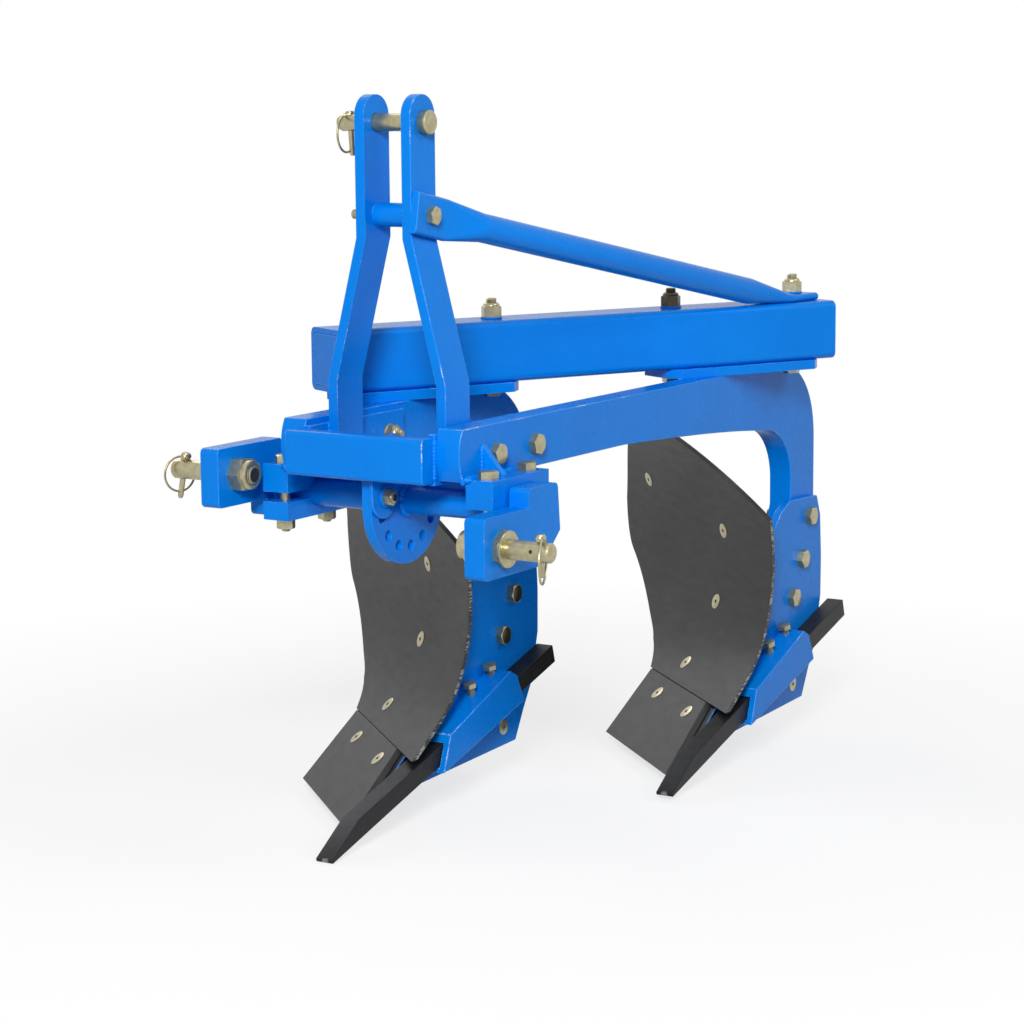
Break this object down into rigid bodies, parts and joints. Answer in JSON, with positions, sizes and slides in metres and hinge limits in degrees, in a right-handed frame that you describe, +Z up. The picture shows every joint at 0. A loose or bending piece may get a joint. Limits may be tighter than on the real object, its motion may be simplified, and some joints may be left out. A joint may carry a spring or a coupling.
{
  "type": "mounted mouldboard plough",
  "caption": "Mounted right-hand mouldboard plough with a three-point headstock, a diagonal tube frame and reversible bar points.",
  "frame": {"origin": "on the ground, below the middle of the bounding box", "axes": "+X is the direction of travel, +Y the plough's left, +Z up"},
  "size_m": [1.267, 0.8334, 1.1],
  "materials": {
    "blue_paint": "gloss enamel",
    "mouldboard_steel": "dark satin",
    "point_steel": "black satin",
    "zinc": "yellow zinc plated"
  },
  "bodies": {
    "frame": {"beam_front": "blue_paint", "beam_rear": "blue_paint", "pad_front": "blue_paint", "pad_rear": "blue_paint", "main_tube": "blue_paint", "tube_cap_front": "blue_paint", "tube_cap_rear": "blue_paint", "crossmember": "blue_paint", "side_plate_left": "blue_paint", "mast_left": "blue_paint", "side_plate_right": "blue_paint", "mast_right": "blue_paint", "top_link_pin": "zinc", "mast_spacer": "blue_paint", "brace": "blue_paint", "clamp_upper_left": "blue_paint", "clamp_lower_left": "blue_paint", "clamp_upper_right": "blue_paint", "clamp_lower_right": "blue_paint", "cross_shaft": "blue_paint", "crank_left": "blue_paint", "link_pin_left": "zinc", "crank_right": "blue_paint", "link_pin_right": "zinc", "sector_plate": "blue_paint", "lock_lug": "blue_paint", "lock_bolt": "zinc", "frog_front": "blue_paint", "bar_hood_front": "blue_paint", "share_front": "mouldboard_steel", "mouldboard_front": "mouldboard_steel", "stay_front": "blue_paint", "frog_rear": "blue_paint", "bar_hood_rear": "blue_paint", "share_rear": "mouldboard_steel", "mouldboard_rear": "mouldboard_steel", "stay_rear": "blue_paint"},
    "bar_point_front": {"bar_point_front": "point_steel"},
    "bar_point_rear": {"bar_point_rear": "point_steel"}
  },
  "joints": [
    {"name": "point_slide_front", "type": "slide", "parent": "frame", "child": "bar_point_front", "axis": [0.9608, 0, -0.2773], "range_m": [-0.06, 0.1]},
    {"name": "point_slide_rear", "type": "slide", "parent": "frame", "child": "bar_point_rear", "axis": [0.9608, 0, -0.2773], "range_m": [-0.03, 0.13]}
  ]
}
